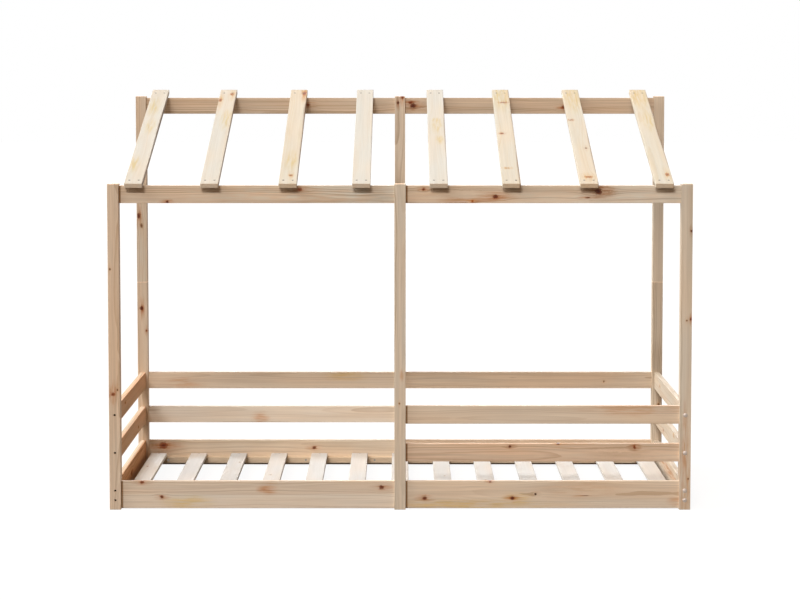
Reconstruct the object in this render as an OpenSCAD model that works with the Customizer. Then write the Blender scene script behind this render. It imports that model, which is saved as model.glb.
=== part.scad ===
// Low kids bed in solid pine with a single slope roof of open slats.
// X runs along the bed, Y from the open front side to the rear, Z up.
// The origin is on the floor, under the middle of the bed.

/* [Bed frame] */
// Length over the end posts
bed_length = 2060; // [1700:1:2300]
// Depth over the front and rear posts
bed_depth = 960; // [800:1:1300]
// Height of the front posts
front_post_height = 1157; // [950:1:1300]
// Height of the rear posts
rear_post_height = 1453; // [1320:1:1700]
// Side of the square posts
post_size = 40; // [36:1:50]
// Rounding along the edges of a post
post_round = 1; // [0.5:0.5:6]
// Rounding at the ends of a post
post_end_round = 1.5; // [0.5:0.5:3]

/* [Boards and rails] */
// Thickness of all boards and rails
board_thickness = 20; // [18:1:24]
// Rounding along the edges of boards and rails
board_round = 1.5; // [0.5:0.5:4]
// Gap between the floor and the bottom boards
board_bottom = 3.5; // [2:0.5:60]
// Height of the bottom boards
board_height = 97.5; // [90:0.5:130]
// Gap between a bottom board and the lower guard rail
lower_guard_gap = 70; // [50:1:110]
// Gap between the two guard rails
upper_guard_gap = 71; // [50:1:110]
// Height of a guard rail
guard_height = 64; // [54:1:80]
// Height of a roof rail
roof_rail_height = 62; // [56:1:80]
// Drop from a post top to the top of its roof rail
roof_rail_drop = 6; // [0:1:12]

/* [Bed base] */
// Width of a bed slat
bed_slat_width = 63; // [40:1:75]
// Thickness of a bed slat
bed_slat_thickness = 13; // [9:0.5:16]
// Rounding of the edges of the bed slats
bed_slat_round = 2; // [0.5:0.5:4]
// Gap between the bed slat ends and the posts
bed_slat_end_gap = 1; // [0.5:0.5:5]
// Bed slats on each side of the middle one
bed_slats_per_side = 6; // [4:1:7]
// Gap between an end board and the nearest bed slat
bed_slat_gap = 20; // [12:1:40]
// Drop from the top of the side boards to the top of the bed slats
bed_slat_drop = 50; // [35:1:60]
// Depth of the ledge that carries the bed slats
ledge_depth = 36; // [28:1:50]
// Height of the ledge
ledge_height = 23; // [20:1:30]
// Gap between a ledge end and the post
ledge_end_gap = 0.5; // [0.2:0.1:5]
// Rounding along the edges of the ledge
ledge_round = 1.5; // [0.5:0.5:3]

/* [Roof slats] */
// Width of a roof slat
roof_slat_width = 64; // [50:1:80]
// Thickness of a roof slat
roof_slat_thickness = 17; // [14:1:20]
// Rounding of the edges of the roof slats
roof_slat_round = 1.5; // [0.5:0.5:3]
// Reach of the roof slats past the post faces, front and rear
roof_slat_reach = 18.5; // [12:0.5:60]
// Roof slats over each half of the bed
roof_slats_per_side = 4; // [2:1:5]
// Gap between the left posts and the first roof slat
roof_slat_gap_left = 22; // [10:1:60]
// Gap between the right posts and the last roof slat
roof_slat_gap_right = 29; // [10:1:60]
// Gap between the centre post and the nearest roof slat
roof_slat_centre_gap = 84; // [40:1:120]
// Shift of the inner roof slats off an even spacing
roof_slat_shift = 8.5; // [0:0.5:12]
// Gap between a roof slat and the rounded rail edge that carries it
roof_slat_seat_gap = 0.1; // [0:0.05:0.3]

/* [Frame bolts] */
// Thread diameter of the bolts and studs
bolt_d = 6; // [5:0.5:6.5]
// Bolt hole in the wood
bolt_hole_d = 7; // [7:0.1:8]
// Head diameter of the sunk bolts
sunk_head_d = 8; // [7.5:0.1:10]
// Head height of the sunk bolts
sunk_head_height = 5; // [3:0.5:7]
// Depth of the hole that a sunk head sits in
sunk_depth = 12; // [8:0.5:14]
// Head diameter of the domed bolts
dome_head_d = 16; // [12:0.5:18]
// Head height of the domed bolts
dome_head_height = 3.6; // [2.5:0.1:5]
// Width of the hexagon socket in a bolt head
socket_width = 4; // [3:0.5:5]
// Depth of the hexagon socket
socket_depth = 2.4; // [1.5:0.1:3]
// Reach of a bolt past the middle of its barrel nut
bolt_past_nut = 7; // [5.5:0.5:9]
// Room in the wood past the tip of a bolt
bolt_tip_room = 3; // [1:0.5:5]
// Spacing of the two bolts in a bottom board
bolt_spacing = 34; // [30:1:36]
// Drop of those two bolts below the middle of the board
board_bolt_drop = 1.5; // [0:0.5:3]
// Clearance all round a fastener or a dowel
fit = 0.1; // [0.05:0.05:0.2]

/* [Barrel nuts] */
// Diameter of a barrel nut
nut_d = 10; // [9:0.5:12]
// Length of a barrel nut
nut_length = 14; // [12:0.5:15]
// Distance from the post to the middle of a barrel nut
nut_distance = 28; // [24:1:34]
// Width of the screwdriver slot in a barrel nut
nut_slot_width = 1.4; // [1:0.1:2]
// Depth of that slot
nut_slot_depth = 1.2; // [0.8:0.1:2]

/* [Dowels and splices] */
// Diameter of the dowels
dowel_d = 8; // [6:0.5:9]
// Depth of a dowel in a post
dowel_in_post = 12; // [10:1:14]
// Depth of a dowel in a rail
dowel_in_rail = 18; // [12:1:20]
// Bevel at the ends of a dowel
dowel_bevel = 1; // [0.5:0.1:1.5]
// Room in the wood past the end of a dowel
dowel_end_room = 0.5; // [0.3:0.1:1]
// Diameter of the stud that joins the halves of a rear post
splice_d = 8; // [6:0.5:10]
// Depth of that stud in each half
splice_depth = 50; // [30:1:80]
// Depth of the splice dowel in each half
splice_dowel_depth = 20; // [12:1:30]
// Sideways place of the splice dowel from the middle of the post
splice_dowel_offset = 11; // [10:0.5:12]

/* [Wood screws] */
// Shank diameter of the roof slat screws
roof_screw_d = 4; // [3.5:0.1:5]
// Head diameter of the roof slat screws
roof_screw_head_d = 8; // [7:0.1:9]
// Length of the roof slat screws
roof_screw_length = 35; // [30:1:38]
// Spacing of the two screws across a roof slat
roof_screw_spacing = 33; // [28:1:40]
// Shank diameter of the bed slat screws
bed_screw_d = 3.5; // [3:0.1:4]
// Head diameter of the bed slat screws
bed_screw_head_d = 7; // [6:0.1:8]
// Length of the bed slat screws
bed_screw_length = 22; // [18:1:24]
// Shank diameter of the ledge screws
ledge_screw_d = 4; // [3.5:0.1:4.5]
// Head diameter of the ledge screws
ledge_screw_head_d = 8; // [7:0.1:9]
// Depth of the ledge screws in the side board
ledge_screw_bite = 12; // [9:0.5:14]
// Height of the ledge screws above the bottom of the ledge
ledge_screw_rise = 12; // [6:0.5:15]
// Screws in each ledge
ledge_screw_count = 4; // [3:1:6]
// Distance from a post to the first ledge screw
ledge_screw_margin = 80; // [50:1:100]
// Width of a bar of the cross recess in a screw head
recess_width = 1.2; // [0.8:0.1:1.4]
// Length of a bar of the cross recess
recess_length = 4.2; // [3:0.1:5]
// Depth of the cross recess
recess_depth = 1.6; // [1:0.1:2]

/* [Hidden] */
$fn = 64;
// Overlap that lets a cut break cleanly through a face
skin = 1;
left = -1;
right = 1;
front = -1;
rear = 1;

end_x = bed_length / 2 - post_size / 2;
side_y = bed_depth / 2 - post_size / 2;
bay_outer_x = bed_length / 2 - post_size;
bay_inner_x = post_size / 2;
rail_y = bed_depth / 2 - post_size;
board_face_x = end_x - board_thickness / 2;
board_face_y = side_y - board_thickness / 2;
splice_z = rear_post_height / 2;

pine = "#c4a27e";
pale_pine = "#ecdcc0";
steel = "#b9babd";
beech = "#d8b88a";

bolt_stagger = bolt_spacing / 2;

// A level of rails: bottom, height, heights of the bolts and dowels in the
// long rails, and heights of the bolts and dowels in the end rails
function guard_level(bottom) = let (c = bottom + guard_height / 2)
    [bottom, guard_height, [c + bolt_stagger], [c - bolt_stagger], [c], [c - bolt_stagger]];
function roof_level(top) = let (c = top - roof_rail_height / 2)
    [top - roof_rail_height, roof_rail_height, [c - bolt_stagger], [c + bolt_stagger], [], []];
board_bolt_z = board_bottom + board_height / 2 - board_bolt_drop;
board_level = [
    board_bottom, board_height,
    [board_bolt_z, board_bolt_z + 2 * bolt_stagger], [board_bolt_z - 2 * bolt_stagger],
    [board_bolt_z - bolt_stagger, board_bolt_z + bolt_stagger], [board_bolt_z]
];
lower_guard_z = board_bottom + board_height + lower_guard_gap;
lower_level = guard_level(lower_guard_z);
upper_level = guard_level(lower_guard_z + guard_height + upper_guard_gap);
front_roof_level = roof_level(front_post_height - roof_rail_drop);
rear_roof_level = roof_level(rear_post_height - roof_rail_drop);
function bottom_of(level) = level[0];
function height_of(level) = level[1];
function long_bolts(level) = level[2];
function long_dowels(level) = level[3];
function end_bolts(level) = level[4];
function end_dowels(level) = level[5];

end_levels = [board_level, lower_level, upper_level];
rear_levels = [board_level, lower_level, upper_level, rear_roof_level];
front_left_levels = [board_level, front_roof_level];
front_right_levels = [board_level, lower_level, upper_level, front_roof_level];
function side_levels(side, end) = end == rear ? rear_levels
    : side == left ? front_left_levels : front_right_levels;

// Places and names of the bed slats, counted from the left
bed_slat_total = 2 * bed_slats_per_side + 1;
bed_slat_top = board_bottom + board_height - bed_slat_drop;
ledge_z = bed_slat_top - bed_slat_thickness - ledge_height;
last_bed_slat_x = board_face_x - bed_slat_gap - bed_slat_width / 2;
function bed_slat_x(i) = ((i - 1) / bed_slats_per_side - 1) * last_bed_slat_x;
function two_digits(i) = i < 10 ? str("0", i) : str(i);
function bed_slat_name(i) = str("bed_slat_", two_digits(i));
bed_slat_length = 2 * (rail_y - bed_slat_end_gap);
bed_screw_y = (board_face_y - ledge_depth + rail_y - bed_slat_end_gap) / 2;

// The middle slat bridges the ledges of both halves and has a screw in each
middle_screw_shift = bay_inner_x + ledge_end_gap + bed_screw_head_d / 2;
function bed_screw_shifts(i) = i == bed_slats_per_side + 1
    ? [-middle_screw_shift, middle_screw_shift] : [0];
ledge_screw_pitch = (bay_outer_x - bay_inner_x - 2 * ledge_screw_margin) / (ledge_screw_count - 1);

// Places and names of the roof slats, counted from the left
roof_slat_total = 2 * roof_slats_per_side;
inner_roof_slat_x = bay_inner_x + roof_slat_centre_gap + roof_slat_width / 2;
function outer_roof_slat_x(side) = bay_outer_x - roof_slat_width / 2
    - (side == left ? roof_slat_gap_left : roof_slat_gap_right);
function roof_slat_step(side) =
    (outer_roof_slat_x(side) - inner_roof_slat_x) / (roof_slats_per_side - 1);
function roof_slat_offset(side, k) = inner_roof_slat_x + k * roof_slat_step(side)
    - (k == 1 && roof_slats_per_side > 2 ? roof_slat_shift : 0);
function roof_slat_x(i) = i <= roof_slats_per_side
    ? -roof_slat_offset(left, roof_slats_per_side - i)
    : roof_slat_offset(right, i - roof_slats_per_side - 1);
function roof_slat_name(i) = str("roof_slat_", i);
function half_roof_slats(side) = side == left ? [1 : roof_slats_per_side]
    : [roof_slats_per_side + 1 : roof_slat_total];

// The roof slats lean on the rounded front edges of both roof rails
front_seat_y = -board_face_y - board_thickness;
front_seat_z = front_post_height - roof_rail_drop;
seat_run = 2 * side_y;
roof_angle = atan((rear_post_height - front_post_height) / seat_run);
seat_drop = board_round * (sin(roof_angle) + cos(roof_angle) - 1);
roof_slat_under = roof_slat_seat_gap - seat_drop;
roof_slat_top = roof_slat_under + roof_slat_thickness;
roof_reach_y = bed_depth / 2 + roof_slat_reach;
roof_slat_low_y = (roof_slat_top * sin(roof_angle) - roof_reach_y - front_seat_y) / cos(roof_angle);
roof_slat_high_y = (roof_slat_under * sin(roof_angle) + roof_reach_y - front_seat_y) / cos(roof_angle);
roof_screw_low_y = board_thickness / 2 * cos(roof_angle);
roof_screw_high_y = roof_screw_low_y + seat_run / cos(roof_angle);

// Rectangle with rounded corners round the origin
module rounded_outline(w, h, r) {
    square([w - 2 * r, h], center = true);
    square([w, h - 2 * r], center = true);
    for (x = [-1, 1], y = [-1, 1])
        translate([x * (w / 2 - r), y * (h / 2 - r)]) circle(r);
}

// Bar along X between x0 and x1, rounded along its edges
module bar_along_x(x0, x1, y, z, depth, height, r) {
    translate([x0, y, z + height / 2]) rotate([90, 0, 90])
        linear_extrude(x1 - x0) rounded_outline(depth, height, r);
}

// Bar along Y, centred on Y = 0, rounded along its edges
module bar_along_y(x, z, length, width, height, r) {
    translate([x, length / 2, z + height / 2]) rotate([90, 0, 0])
        linear_extrude(length) rounded_outline(width, height, r);
}

// Block from the origin plane up, rounded on all its edges
module rounded_block(w, d, h, side_round, end_round) {
    intersection() {
        linear_extrude(h) rounded_outline(w, d, side_round);
        translate([0, d, h / 2]) rotate([90, 0, 0])
            linear_extrude(2 * d) rounded_outline(w, h, end_round);
        translate([-w, 0, h / 2]) rotate([90, 0, 90])
            linear_extrude(2 * w) rounded_outline(d, h, end_round);
    }
}

// Places of the joints: the local Z axis runs from the post into the rail,
// and the local Y axis points at the hidden face that takes the barrel nut
module at_long_joint(x, into, y, z) {
    translate([x, y, z]) rotate([0, 90 * into, 0]) children();
}

module at_end_joint(side, end, z) {
    translate([side * end_x, end * rail_y, z])
        rotate([90 * end, 0, 0]) rotate([0, 0, -90 * side]) children();
}

module bolt_bore() {
    length = post_size + skin + nut_distance + bolt_past_nut + bolt_tip_room;
    translate([0, 0, -post_size - skin]) cylinder(d = bolt_hole_d, h = length);
    translate([0, -nut_length / 2 - fit, nut_distance]) rotate([-90, 0, 0])
        cylinder(d = nut_d + 2 * fit, h = nut_length + board_thickness);
}

module sunk_head_bore() {
    translate([0, 0, -post_size - skin])
        cylinder(d = sunk_head_d + 2 * fit, h = sunk_depth + skin);
}

module dowel_bore(depth_in_post = dowel_in_post + dowel_end_room) {
    translate([0, 0, -depth_in_post])
        cylinder(d = dowel_d + 2 * fit, h = depth_in_post + dowel_in_rail + dowel_end_room);
}

module long_joint_bores(level, x, into, y) {
    for (z = long_bolts(level)) at_long_joint(x, into, y, z) bolt_bore();
    for (z = long_dowels(level)) at_long_joint(x, into, y, z) dowel_bore();
}

module centre_joint_bores(level, into, y) {
    for (z = long_bolts(level)) at_long_joint(into * bay_inner_x, into, y, z) bolt_bore();
    for (z = long_dowels(level))
        at_long_joint(into * bay_inner_x, into, y, z) dowel_bore(post_size);
}

module end_joint_bores(level, side, end) {
    for (z = end_bolts(level)) at_end_joint(side, end, z) bolt_bore();
    for (z = end_dowels(level)) at_end_joint(side, end, z) dowel_bore();
}

module corner_post_bores(side, end) {
    for (level = side_levels(side, end)) {
        long_joint_bores(level, side * bay_outer_x, -side, end * side_y);
        for (z = long_bolts(level))
            at_long_joint(side * bay_outer_x, -side, end * side_y, z) sunk_head_bore();
    }
    for (level = end_levels) {
        end_joint_bores(level, side, end);
        if (side == left) for (z = end_bolts(level)) at_end_joint(side, end, z) sunk_head_bore();
    }
}

module centre_post_bores(end) {
    for (side = [left, right], level = side_levels(side, end))
        if (end == rear || level == board_level || level == front_roof_level)
            centre_joint_bores(level, side, end * side_y);
        else {
            long_joint_bores(level, bay_inner_x, right, end * side_y);
            for (z = long_bolts(level))
                at_long_joint(bay_inner_x, right, end * side_y, z) sunk_head_bore();
        }
}

// Posts
module post_blank(x, y, z, height) {
    translate([x, y, z])
        rounded_block(post_size, post_size, height, post_round, post_end_round);
}

module front_corner_post(side) {
    color(pine) difference() {
        post_blank(side * end_x, -side_y, 0, front_post_height);
        corner_post_bores(side, front);
    }
}

module front_left_post() { front_corner_post(left); }
module front_right_post() { front_corner_post(right); }

module front_centre_post() {
    color(pine) difference() {
        post_blank(0, -side_y, 0, front_post_height);
        centre_post_bores(front);
    }
}

module at_splice(x) { translate([x, side_y, splice_z]) children(); }

module splice_bores(x) {
    at_splice(x) {
        depth = splice_depth + dowel_end_room;
        translate([0, 0, -depth]) cylinder(d = splice_d + 2 * fit, h = 2 * depth);
        dowel_depth = splice_dowel_depth + dowel_end_room;
        translate([splice_dowel_offset, splice_dowel_offset, -dowel_depth])
            cylinder(d = dowel_d + 2 * fit, h = 2 * dowel_depth);
    }
}

module rear_post_half(x, z) {
    color(pine) difference() {
        post_blank(x, side_y, z, splice_z);
        if (x == 0) centre_post_bores(rear);
        else corner_post_bores(sign(x), rear);
        splice_bores(x);
    }
}

module rear_left_post_lower() { rear_post_half(-end_x, 0); }
module rear_centre_post_lower() { rear_post_half(0, 0); }
module rear_right_post_lower() { rear_post_half(end_x, 0); }
module rear_left_post_upper() { rear_post_half(-end_x, splice_z); }
module rear_centre_post_upper() { rear_post_half(0, splice_z); }
module rear_right_post_upper() { rear_post_half(end_x, splice_z); }

// Boards and rails that run along the bed, each between two posts
module long_rail(side, end, level) {
    y = end * side_y;
    difference() {
        bar_along_x(side == left ? -bay_outer_x : bay_inner_x,
                    side == left ? -bay_inner_x : bay_outer_x,
                    y, bottom_of(level), board_thickness, height_of(level), board_round);
        long_joint_bores(level, side * bay_outer_x, -side, y);
        if (side == right && end == front && (level == lower_level || level == upper_level))
            long_joint_bores(level, bay_inner_x, right, y);
        else
            centre_joint_bores(level, side, y);
    }
}

module side_board(side, end) {
    color(pine) difference() {
        long_rail(side, end, board_level);
        ledge_screw_bores(side, end);
    }
}

module front_side_board_left() { side_board(left, front); }
module front_side_board_right() { side_board(right, front); }
module rear_side_board_left() { side_board(left, rear); }
module rear_side_board_right() { side_board(right, rear); }

module front_guard_rail_lower() { color(pine) long_rail(right, front, lower_level); }
module front_guard_rail_upper() { color(pine) long_rail(right, front, upper_level); }
module rear_guard_rail_left_lower() { color(pine) long_rail(left, rear, lower_level); }
module rear_guard_rail_left_upper() { color(pine) long_rail(left, rear, upper_level); }
module rear_guard_rail_right_lower() { color(pine) long_rail(right, rear, lower_level); }
module rear_guard_rail_right_upper() { color(pine) long_rail(right, rear, upper_level); }

module roof_rail(side, end) {
    color(pine) difference() {
        long_rail(side, end, end == front ? front_roof_level : rear_roof_level);
        roof_screw_bores(half_roof_slats(side), end);
    }
}

module front_roof_rail_left() { roof_rail(left, front); }
module front_roof_rail_right() { roof_rail(right, front); }
module rear_roof_rail_left() { roof_rail(left, rear); }
module rear_roof_rail_right() { roof_rail(right, rear); }

// Boards and rails across the two ends of the bed
module end_rail(side, level) {
    color(pine) difference() {
        bar_along_y(side * end_x, bottom_of(level), 2 * rail_y,
                    board_thickness, height_of(level), board_round);
        for (end = [front, rear]) end_joint_bores(level, side, end);
    }
}

module left_end_board() { end_rail(left, board_level); }
module right_end_board() { end_rail(right, board_level); }
module left_end_rail_lower() { end_rail(left, lower_level); }
module left_end_rail_upper() { end_rail(left, upper_level); }
module right_end_rail_lower() { end_rail(right, lower_level); }
module right_end_rail_upper() { end_rail(right, upper_level); }

// Countersunk wood screw along Z, its head flush with Z = 0 and its tip below
module wood_screw(d, head_d, length) {
    head_height = (head_d - d) / 2;
    difference() {
        union() {
            translate([0, 0, -head_height]) cylinder(d1 = d, d2 = head_d, h = head_height);
            translate([0, 0, d - length]) cylinder(d = d, h = length - d - head_height / 2);
            translate([0, 0, -length]) cylinder(d1 = d / 4, d2 = d, h = d);
        }
        for (turn = [0, 90]) rotate(turn)
            translate([-recess_length / 2, -recess_width / 2, -recess_depth])
                cube([recess_length, recess_width, 2 * recess_depth]);
    }
}

module screw_bore(d, head_d, length) {
    head_height = (head_d - d) / 2;
    translate([0, 0, -length - fit]) cylinder(d = d + 2 * fit, h = length);
    translate([0, 0, -head_height]) cylinder(d1 = d + 2 * fit, d2 = head_d + 2 * fit, h = head_height);
    cylinder(d = head_d + 2 * fit, h = skin);
}

// Ledges along the side boards, and the screws that hold them
module at_ledge_screws(side, end) {
    for (k = [0 : ledge_screw_count - 1])
        translate([side * (bay_inner_x + ledge_screw_margin + k * ledge_screw_pitch),
                   end * (board_face_y - ledge_depth), ledge_z + ledge_screw_rise])
            rotate([90 * end, 0, 0]) children();
}

module ledge_screw_bores(side, end) {
    at_ledge_screws(side, end)
        screw_bore(ledge_screw_d, ledge_screw_head_d, ledge_depth + ledge_screw_bite);
}

module ledge(side, end) {
    reach = bay_outer_x - ledge_end_gap;
    start = bay_inner_x + ledge_end_gap;
    color(pale_pine) difference() {
        bar_along_x(side == left ? -reach : start, side == left ? -start : reach,
                    end * (board_face_y - ledge_depth / 2), ledge_z,
                    ledge_depth, ledge_height, ledge_round);
        ledge_screw_bores(side, end);
        for (i = [1 : bed_slat_total]) bed_screw_bores(i);
    }
}

module front_ledge_left() { ledge(left, front); }
module front_ledge_right() { ledge(right, front); }
module rear_ledge_left() { ledge(left, rear); }
module rear_ledge_right() { ledge(right, rear); }

// Bed slats, held by screws at both ends
module at_bed_screws(i) {
    for (end = [front, rear], shift = bed_screw_shifts(i))
        translate([bed_slat_x(i) + shift, end * bed_screw_y, bed_slat_top]) children();
}

module bed_screw_bores(i) {
    at_bed_screws(i) screw_bore(bed_screw_d, bed_screw_head_d, bed_screw_length);
}

module bed_slat(i) {
    color(pale_pine) difference() {
        translate([bed_slat_x(i), 0, bed_slat_top - bed_slat_thickness])
            rounded_block(bed_slat_width, bed_slat_length, bed_slat_thickness,
                          bed_slat_round, bed_slat_round);
        bed_screw_bores(i);
    }
}

// Roof slats, each held by two screws at each end
module on_roof_slope(x) {
    translate([x, front_seat_y, front_seat_z]) rotate([roof_angle, 0, 0]) children();
}

module at_roof_screws(slats, end) {
    for (i = slats, across = [-1, 1])
        on_roof_slope(roof_slat_x(i))
            translate([across * roof_screw_spacing / 2,
                       end == front ? roof_screw_low_y : roof_screw_high_y, roof_slat_top])
                children();
}

module roof_screw_bores(slats, end) {
    at_roof_screws(slats, end) screw_bore(roof_screw_d, roof_screw_head_d, roof_screw_length);
}

module roof_slat(i) {
    color(pale_pine) difference() {
        on_roof_slope(roof_slat_x(i))
            translate([0, (roof_slat_low_y + roof_slat_high_y) / 2, roof_slat_under])
                rounded_block(roof_slat_width, roof_slat_high_y - roof_slat_low_y,
                              roof_slat_thickness, roof_slat_round, roof_slat_round);
        for (end = [front, rear]) roof_screw_bores([i], end);
    }
}

// Bolt from the outer face of a post to its barrel nut
module frame_bolt(domed = false) {
    seat = domed ? -post_size : sunk_depth - post_size;
    head_height = domed ? dome_head_height : sunk_head_height;
    difference() {
        union() {
            translate([0, 0, seat - head_height / 2])
                cylinder(d = bolt_d, h = nut_distance + bolt_past_nut - seat + head_height / 2);
            if (domed) translate([0, 0, seat]) dome_head();
            else translate([0, 0, seat - head_height]) cylinder(d = sunk_head_d, h = head_height);
        }
        translate([0, 0, seat - head_height - skin])
            cylinder(d = socket_width / cos(30), h = socket_depth + skin, $fn = 6);
    }
}

module dome_head() {
    sphere_r = (dome_head_d * dome_head_d / 4 + dome_head_height * dome_head_height)
        / (2 * dome_head_height);
    intersection() {
        translate([0, 0, sphere_r - dome_head_height]) sphere(sphere_r);
        translate([0, 0, -dome_head_height]) cylinder(d = dome_head_d, h = dome_head_height);
    }
}

module frame_bolts() {
    color(steel) {
        for (side = [left, right], end = [front, rear], level = side_levels(side, end))
            for (z = long_bolts(level))
                at_long_joint(side * bay_outer_x, -side, end * side_y, z) frame_bolt();
        for (side = [left, right], end = [front, rear], level = end_levels)
            for (z = end_bolts(level)) at_end_joint(side, end, z) frame_bolt(side == right);
        for (level = [lower_level, upper_level], z = long_bolts(level))
            at_long_joint(bay_inner_x, right, -side_y, z) frame_bolt();
    }
}

// Cross nut for the bolts and studs, with a slot in the end that shows
module barrel_nut() {
    translate([0, 0, nut_distance]) difference() {
        translate([0, -nut_length / 2, 0]) rotate([-90, 0, 0]) cylinder(d = nut_d, h = nut_length);
        translate([0, 0, -nut_d]) cylinder(d = bolt_d + 2 * fit, h = 2 * nut_d);
        translate([-nut_d, nut_length / 2 - nut_slot_depth, -nut_slot_width / 2])
            cube([2 * nut_d, 2 * nut_slot_depth, nut_slot_width]);
    }
}

module barrel_nuts() {
    color(steel) {
        for (side = [left, right], end = [front, rear], level = side_levels(side, end))
            for (z = long_bolts(level)) {
                at_long_joint(side * bay_outer_x, -side, end * side_y, z) barrel_nut();
                at_long_joint(side * bay_inner_x, side, end * side_y, z) barrel_nut();
            }
        for (side = [left, right], end = [front, rear], level = end_levels)
            for (z = end_bolts(level)) at_end_joint(side, end, z) barrel_nut();
    }
}

// Studs through the centre posts, and studs between the halves of the rear posts
module centre_studs() {
    reach = bay_inner_x + nut_distance + bolt_past_nut;
    color(steel) {
        for (end = [front, rear], level = side_levels(left, end), z = long_bolts(level))
            translate([-reach, end * side_y, z]) rotate([0, 90, 0])
                cylinder(d = bolt_d, h = 2 * reach);
        for (x = [-end_x, 0, end_x]) at_splice(x)
            translate([0, 0, -splice_depth]) cylinder(d = splice_d, h = 2 * splice_depth);
    }
}

// Wooden dowels with bevelled ends
module dowel(length) {
    translate([0, 0, dowel_bevel]) cylinder(d = dowel_d, h = length - 2 * dowel_bevel);
    cylinder(d1 = dowel_d - 2 * dowel_bevel, d2 = dowel_d, h = dowel_bevel);
    translate([0, 0, length - dowel_bevel])
        cylinder(d1 = dowel_d, d2 = dowel_d - 2 * dowel_bevel, h = dowel_bevel);
}

module dowels() {
    length = dowel_in_post + dowel_in_rail;
    through = bay_inner_x + dowel_in_rail;
    color(beech) {
        for (side = [left, right], end = [front, rear], level = side_levels(side, end))
            for (z = long_dowels(level))
                at_long_joint(side * bay_outer_x, -side, end * side_y, z)
                    translate([0, 0, -dowel_in_post]) dowel(length);
        for (side = [left, right], end = [front, rear], level = end_levels)
            for (z = end_dowels(level))
                at_end_joint(side, end, z) translate([0, 0, -dowel_in_post]) dowel(length);
        for (level = [lower_level, upper_level], z = long_dowels(level))
            at_long_joint(bay_inner_x, right, -side_y, z)
                translate([0, 0, -dowel_in_post]) dowel(length);
        for (end = [front, rear], level = side_levels(left, end), z = long_dowels(level))
            translate([-through, end * side_y, z]) rotate([0, 90, 0]) dowel(2 * through);
        for (x = [-end_x, 0, end_x]) at_splice(x)
            translate([splice_dowel_offset, splice_dowel_offset, -splice_dowel_depth])
                dowel(2 * splice_dowel_depth);
    }
}

module roof_slat_screws() {
    color(steel) for (end = [front, rear])
        at_roof_screws([1 : roof_slat_total], end)
            wood_screw(roof_screw_d, roof_screw_head_d, roof_screw_length);
}

module bed_base_screws() {
    color(steel) {
        for (i = [1 : bed_slat_total])
            at_bed_screws(i) wood_screw(bed_screw_d, bed_screw_head_d, bed_screw_length);
        for (side = [left, right], end = [front, rear])
            at_ledge_screws(side, end)
                wood_screw(ledge_screw_d, ledge_screw_head_d, ledge_depth + ledge_screw_bite);
    }
}

front_left_post();
front_centre_post();
front_right_post();
rear_left_post_lower();
rear_centre_post_lower();
rear_right_post_lower();
rear_left_post_upper();
rear_centre_post_upper();
rear_right_post_upper();
front_side_board_left();
front_side_board_right();
rear_side_board_left();
rear_side_board_right();
left_end_board();
right_end_board();
left_end_rail_lower();
left_end_rail_upper();
right_end_rail_lower();
right_end_rail_upper();
front_guard_rail_lower();
front_guard_rail_upper();
rear_guard_rail_left_lower();
rear_guard_rail_left_upper();
rear_guard_rail_right_lower();
rear_guard_rail_right_upper();
front_roof_rail_left();
front_roof_rail_right();
rear_roof_rail_left();
rear_roof_rail_right();
front_ledge_left();
front_ledge_right();
rear_ledge_left();
rear_ledge_right();
for (i = [1 : bed_slat_total])
    bed_slat(i);
for (i = [1 : roof_slat_total])
    roof_slat(i);
frame_bolts();
barrel_nuts();
centre_studs();
dowels();
roof_slat_screws();
bed_base_screws();
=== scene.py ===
# %% [markdown]
# # A low kids bed in pine, under a roof of open slats
#
# This lesson dresses a bed that is already built: every post, rail, slat, bolt and screw comes in as a
# fixed frame, in metres, with X along the bed, Y from the open front side to the rear, and Z up. What is
# left to make is what the eye reads as wood: growth rings, knots, fibres, the tone of sawn ends and the
# small steel parts in between.

# %% Load the bed
import math
import random

import bpy
from mathutils import Matrix, Vector


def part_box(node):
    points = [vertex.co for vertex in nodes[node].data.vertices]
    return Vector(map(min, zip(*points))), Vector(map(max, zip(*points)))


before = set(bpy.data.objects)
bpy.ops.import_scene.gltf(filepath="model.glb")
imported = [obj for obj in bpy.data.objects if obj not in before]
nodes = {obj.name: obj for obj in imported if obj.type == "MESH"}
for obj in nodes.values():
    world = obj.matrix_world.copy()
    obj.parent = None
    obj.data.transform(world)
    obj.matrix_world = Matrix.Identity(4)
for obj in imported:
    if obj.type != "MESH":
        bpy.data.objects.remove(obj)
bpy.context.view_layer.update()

# %% [markdown]
# ## The camera
#
# The bed is seen straight from the front and a little from above, from far away, so that its rear posts
# look only a tenth shorter than the front ones. Upright posts stay nearly parallel in such a picture. That
# could be done by shifting the lens alone, but a large shift would push the bed out of the frame in any
# other view, so a small shift and a gentle downward tilt share the work.

# %% Place the camera
CAMERA_PLACE = (0.0, -8.701, 1.566)
CAMERA_TILT = math.radians(4.12)
SENSOR_WIDTH = 36
FOCAL_LENGTH = 105.4
LENS_SHIFT = -0.08

bpy.ops.object.camera_add(location=CAMERA_PLACE, rotation=(math.radians(90) - CAMERA_TILT, 0, 0))
camera = bpy.context.object
camera.data.sensor_width = SENSOR_WIDTH
camera.data.lens = FOCAL_LENGTH
camera.data.shift_y = LENS_SHIFT
bpy.context.scene.camera = camera
print("camera:", FOCAL_LENGTH, "mm lens at", CAMERA_PLACE)

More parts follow.
